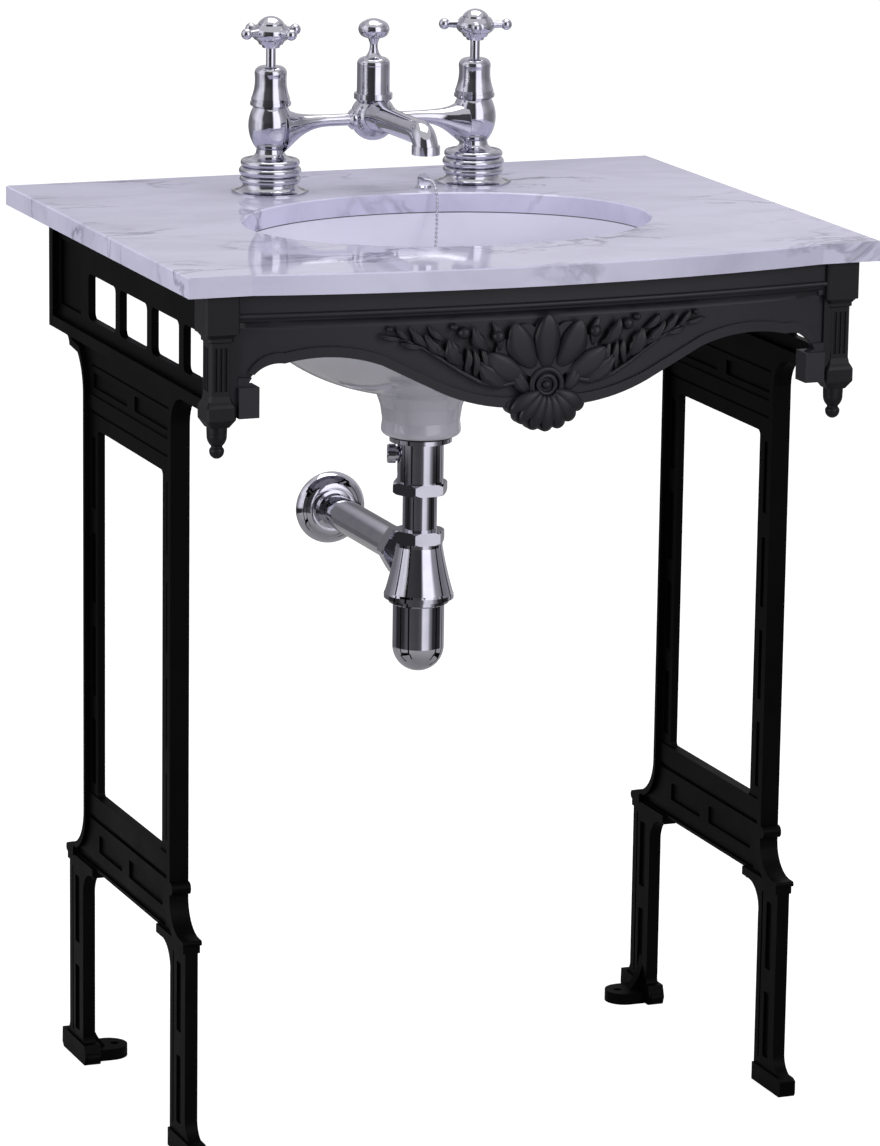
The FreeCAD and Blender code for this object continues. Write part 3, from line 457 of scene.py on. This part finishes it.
def bud(mesh, x, z, size, height):
    """A round bud or curl end."""
    ball = bmesh.ops.create_uvsphere(mesh, u_segments=14, v_segments=10, radius=1.0)["verts"]
    bmesh.ops.scale(mesh, verts=ball, vec=(size, height, size))
    bmesh.ops.translate(mesh, verts=ball, vec=(x, 0, z))


def rim_edges(ring):
    """The edges between a ring's points, each once."""
    found = [e for v in ring for e in v.link_edges if e.other_vert(v) in ring]
    return list(dict.fromkeys(found))


def stem(mesh, points, thick, taper=0.75):
    """A tapering round stem through (x, z) points, extruded ring by ring."""
    ring = bmesh.ops.create_circle(mesh, segments=10, radius=1.0)["verts"]
    flat = [v.co.copy() for v in ring]
    last = len(points) - 1
    for i, (x, z) in enumerate(points):
        before = points[max(i - 1, 0)]
        after = points[min(i + 1, last)]
        way = Vector((after[0] - before[0], 0, after[1] - before[1]))
        pose = (Matrix.Translation((x, 0, z)) @ way.to_track_quat("Z", "Y").to_matrix().to_4x4()
                @ Matrix.Scale(thick * (1 - taper * i / last), 4))
        if i:
            made = bmesh.ops.extrude_edge_only(mesh, edges=rim_edges(ring))["geom"]
            moved = [g for g in made if isinstance(g, bmesh.types.BMVert)]
            ring = [next(e.other_vert(v) for e in v.link_edges if e.other_vert(v) in moved)
                    for v in ring]
        for v, start in zip(ring, flat):
            v.co = pose @ start
    bmesh.ops.contextual_create(mesh, geom=rim_edges(ring))


def both_sides(mesh):
    """Copies the right half of the carving over to the left."""
    bmesh.ops.mirror(mesh, geom=mesh.verts[:] + mesh.edges[:] + mesh.faces[:], axis="X",
                     merge_dist=-1)
    bmesh.ops.recalc_face_normals(mesh, faces=mesh.faces)


def seat(mesh, sunk):
    """Bends the flat carving to the apron's bow, that far behind the fascia's front."""
    for v in mesh.verts:
        bow = bow_radius - math.sqrt(bow_radius ** 2 - v.co.x ** 2)
        v.co.y += front_y + bow + sunk


petals = bmesh.new()
leaf(petals, (0.0110, 0.722), (0.0320, 0.763), 0.024, 0.0050, 0.003, 0.003, rib=petal_rib)
leaf(petals, (0.0190, 0.714), (0.0560, 0.737), 0.022, 0.0050, 0.003, 0.003, rib=petal_rib)
leaf(petals, (0.0150, 0.700), (0.0300, 0.722), 0.012, 0.0045, 0.001, 0.002)
both_sides(petals)
leaf(petals, (0.0, 0.720), (0.0, 0.770), 0.023, 0.0054, 0.004, rib=petal_rib)
seat(petals, field_sunk)
palmette = piece("palmette", petals)

growth = bmesh.new()
stem(growth, stem_route, stem_thick)
for measures in leaves:
    leaf(growth, *measures)
for measures in buds:
    bud(growth, *measures)
both_sides(growth)
seat(growth, field_sunk)
foliage = piece("foliage", growth)

flutes = bmesh.new()
for flute in range(flute_count):
    angle = fan_start + fan_spread * flute / (flute_count - 1)
    across, up = math.cos(angle), math.sin(angle)
    root = (flute_root * across, rosette_z + flute_root * up)
    tip = (flute_tip * across, rosette_z + flute_tip * up)
    leaf(flutes, root, tip, flute_width, flute_height, flute_lift, rib=0.0)
seat(flutes, -shell_proud)
shell_flutes = piece("shell_flutes", flutes)

# Painted light: the frames' black paint, made lighter here where light falls on the apron.
apron_black_painted_light = satin_black("apron_black_painted_light", colour=(0.0130, 0.0122, 0.0160),
                          dusty=(0.0170, 0.0160, 0.0205), shine=0.22, unevenness=0.00012)
dress(["front_apron", palmette, foliage, shell_flutes], apron_black_painted_light)

# ---- corner posts ----
# Square posts between the apron and the frames, with fluted shafts, each drawn up by a
# zinc-plated bolt from behind and finished with a turned drop that screws in from below.
# Their black is painted between the frames' and the apron's, as painted light and shade.
# Painted light and shade: the shared black paint in a shade between the frames' and apron's.
post_black_painted_light_and_shade = satin_black("post_black_painted_light_and_shade", colour=(0.0066, 0.0063, 0.0078),
                         dusty=(0.0104, 0.0099, 0.0120), shine=0.14, unevenness=0.00010)
for side in ("left", "right"):
    dress([side + "_corner_post", side + "_drop_finial"], post_black_painted_light_and_shade)
    dress([side + "_apron_bolt"], zinc)

# ---- waste and bottle trap ----
# Brass turnings and tube, chromium plated and joined by nuts, with a rubber washer under
# the basin. The cup unscrews for cleaning, and the outlet runs level to a rose on the wall.
dress(["waste_body", "waste_backnut", "waste_side_cap", "trap_inlet_nut", "trap_inlet_tube",
       "trap_top_nut", "trap_body", "trap_cup", "outlet_nut", "outlet_pipe", "wall_flange",
       "plug"], chrome)
rubber = two_tone("black_rubber", clean=(0.020, 0.020, 0.021), dulled=(0.035, 0.034, 0.033),
                  patches=70.0, smooth=0.55, rough=0.75, grain=0.00003)
dress(["waste_washer"], rubber)

# ---- bridge mixer tap ----
# Cast and turned brass, chromium plated: two pillars, a bridge with its hub and spout, and
# cross-head handles on quarter-turn valves. Backnuts under the slab are plain brass.
brass = two_tone("turned_brass", clean=(0.560, 0.395, 0.145), dulled=(0.390, 0.270, 0.110),
                 metal=1.0, patches=80.0, smooth=0.22, rough=0.42, grain=0.00001)
dress(["bridge_spout", "spout_aerator", "hub_bonnet", "hub_finial"], chrome)
for side in ("hot", "cold"):
    dress([side + "_pillar", side + "_bonnet", side + "_spindle", side + "_handle",
           side + "_index_cap"], chrome)
    dress([side + "_valve", side + "_backnut"], brass)
    dress([side + "_deck_gasket"], rubber)
dress(["stay_nut"], brass)

# ---- floor, reflector wall and light ----
# A pale floor, a white surround that is dimmer in reflections, and a round wall of light and
# dark bands that only reflections show, so that the chromium plate reads as metal.
floor_half = 20.0
floor_grey = 0.30
floor_glow_seen = 0.90
floor_glow_mirrored = 0.10
wall_radius = 1.5
wall_height = 2.4
wall_off_floor = 0.002
wall_brightness = 1.7
wall_tint = (0.95, 0.94, 1.0, 1)
low_edge = (0.27, 0.36)     # heights over which the low bands give way to the middle ones
high_edge = (0.95, 1.15)    # and the middle ones to the high ones
surround_as_light = 0.42
surround_mirrored = 0.62    # of the way from that up to the white that the camera sees

# Shades by heading from the camera's side, in degrees, positive to the picture's right.
low_bands = [(-180, 0.12), (-125, 0.10), (-110, 0.02), (-70, 0.02), (-58, 0.07), (-4, 0.05),
             (12, 0.08), (22, 0.70), (42, 0.62), (56, 0.18), (70, 0.02), (110, 0.02),
             (125, 0.26), (150, 0.22), (180, 0.12)]
middle_bands = [(-180, 0.13), (-125, 0.14), (-100, 0.25), (-82, 0.66), (-60, 0.50), (-46, 0.04),
                (8, 0.03), (20, 1.0), (50, 1.0), (63, 0.25), (100, 0.16), (128, 0.20),
                (155, 0.40), (180, 0.13)]
high_bands = [(-180, 0.40), (-120, 0.30), (-82, 0.75), (-60, 0.60), (-46, 0.06), (8, 0.04),
              (20, 1.0), (50, 1.0), (63, 0.32), (100, 0.22), (150, 0.38), (180, 0.40)]


def bands(tree, heading, shades):
    """Smooth bands of grey by heading."""
    made = tree.nodes.new("ShaderNodeValToRGB")
    made.color_ramp.interpolation = "EASE"
    stops = made.color_ramp.elements
    while len(stops) < len(shades):
        stops.new(0.5)
    # places first and shades after, in case a stop changes its turn as it moves
    for stop, (degrees, _) in zip(stops, shades):
        stop.position = (degrees + 180) / 360
    for stop, (_, shade) in zip(stops, shades):
        stop.color = (shade, shade, shade, 1)
    join(tree, (heading, "Result", made, "Fac"))
    return made


def lamp(name, place, aim, size, power):
    """A soft square lamp at a place, aimed at a point."""
    made = bpy.data.objects.new(name, bpy.data.lights.new(name, "AREA"))
    scene.collection.objects.link(made)
    made.data.size = size
    made.data.energy = power
    way = Vector(aim) - Vector(place)
    turned = way.to_track_quat("-Z", "Y").to_matrix().to_4x4()
    made.matrix_world = Matrix.Translation(place) @ turned


pale_floor, floor_tree, floor_shader = new_material("pale_floor")
floor_shader.inputs["Base Color"].default_value = (floor_grey, floor_grey, floor_grey, 1)
floor_shader.inputs["Roughness"].default_value = 0.9
floor_shader.inputs["Emission Color"].default_value = (1, 1, 1, 1)
floor_rays = floor_tree.nodes.new("ShaderNodeLightPath")
seen_glow = node(floor_tree, "ShaderNodeMath", {1: floor_glow_seen}, operation="MULTIPLY")
mirrored_glow = node(floor_tree, "ShaderNodeMath", {1: floor_glow_mirrored},
                     operation="MULTIPLY")
glow = node(floor_tree, "ShaderNodeMath", operation="ADD")
join(floor_tree,
     (floor_rays, "Is Camera Ray", seen_glow, 0),
     (floor_rays, "Is Glossy Ray", mirrored_glow, 0),
     (seen_glow, "Value", glow, 0),
     (mirrored_glow, "Value", glow, 1),
     (glow, "Value", floor_shader, "Emission Strength"))

floor_sheet = bmesh.new()
bmesh.ops.create_grid(floor_sheet, x_segments=1, y_segments=1, size=floor_half)
floor = piece("floor", floor_sheet, body=None, smooth=False)
floor.data.materials.append(pale_floor)

reflector_bands, wall_tree, wall_shader = new_material("reflector_bands")
wall_shader.inputs["Base Color"].default_value = (0, 0, 0, 1)
wall_shader.inputs["Specular IOR Level"].default_value = 0.0
wall_shader.inputs["Emission Strength"].default_value = wall_brightness
wall_place = wall_tree.nodes.new("ShaderNodeTexCoord")
facing = node(wall_tree, "ShaderNodeMapping", {"Rotation": (0, 0, math.pi / 2 - camera_turn)})
split = wall_tree.nodes.new("ShaderNodeSeparateXYZ")
around = node(wall_tree, "ShaderNodeMath", operation="ARCTAN2")
heading = ramp(wall_tree, -math.pi, math.pi)
above_low = ramp(wall_tree, *low_edge)
above_middle = ramp(wall_tree, *high_edge)
lower = node(wall_tree, "ShaderNodeMix", data_type="RGBA")
upper = node(wall_tree, "ShaderNodeMix", data_type="RGBA")
tinted = node(wall_tree, "ShaderNodeMix", {"Factor": 1.0, "B": wall_tint},
              data_type="RGBA", blend_type="MULTIPLY")
join(wall_tree,
     (wall_place, "Object", facing, "Vector"),
     (facing, "Vector", split, "Vector"),
     (split, "Y", around, 0),
     (split, "X", around, 1),
     (around, "Value", heading, "Value"),
     (split, "Z", above_low, "Value"),
     (split, "Z", above_middle, "Value"),
     (above_low, "Result", lower, "Factor"),
     (bands(wall_tree, heading, low_bands), "Color", lower, "A"),
     (bands(wall_tree, heading, middle_bands), "Color", lower, "B"),
     (above_middle, "Result", upper, "Factor"),
     (lower, "Result", upper, "A"),
     (bands(wall_tree, heading, high_bands), "Color", upper, "B"),
     (upper, "Result", tinted, "A"),
     (tinted, "Result", wall_shader, "Emission Color"))

round_wall = bmesh.new()
wall_middle = Matrix.Translation((0, 0, wall_height / 2 + wall_off_floor))
bmesh.ops.create_cone(round_wall, segments=96, radius1=wall_radius, radius2=wall_radius,
                      depth=wall_height, matrix=wall_middle)
reflector_wall = piece("reflector_wall", round_wall, body=None, smooth=False)
reflector_wall.data.materials.append(reflector_bands)
reflector_wall.visible_camera = False
reflector_wall.visible_diffuse = False
reflector_wall.visible_shadow = False

surround = bpy.data.worlds.new("white_surround")
scene.world = surround
surround.use_nodes = True
sky_tree = surround.node_tree
sky = sky_tree.nodes["Background"]
sky.inputs["Color"].default_value = (1, 1, 1, 1)
sky_rays = sky_tree.nodes.new("ShaderNodeLightPath")
mirrored = node(sky_tree, "ShaderNodeMath", {1: surround_mirrored}, operation="MULTIPLY")
seen_or_mirrored = node(sky_tree, "ShaderNodeMath", operation="MAXIMUM")
or_through_glass = node(sky_tree, "ShaderNodeMath", operation="MAXIMUM")
level = ramp(sky_tree, 0.0, 1.0, surround_as_light, 1.0)
join(sky_tree,
     (sky_rays, "Is Camera Ray", seen_or_mirrored, 0),
     (sky_rays, "Is Glossy Ray", mirrored, 0),
     (mirrored, "Value", seen_or_mirrored, 1),
     (seen_or_mirrored, "Value", or_through_glass, 0),
     (sky_rays, "Is Transmission Ray", or_through_glass, 1),
     (or_through_glass, "Value", level, "Value"),
     (level, "Result", sky, "Strength"))

lamp("lamp_left", place=(-3.3, -0.9, 1.0), aim=(0, 0, 0.7), size=1.4, power=66)
lamp("lamp_front", place=(2.2, -3.2, 2.2), aim=(0, 0, 0.7), size=1.4, power=62)
lamp("lamp_over", place=(0.3, 0.5, 3.2), aim=(0, 0, 0.8), size=1.8, power=38)

scene.view_settings.view_transform = "Standard"
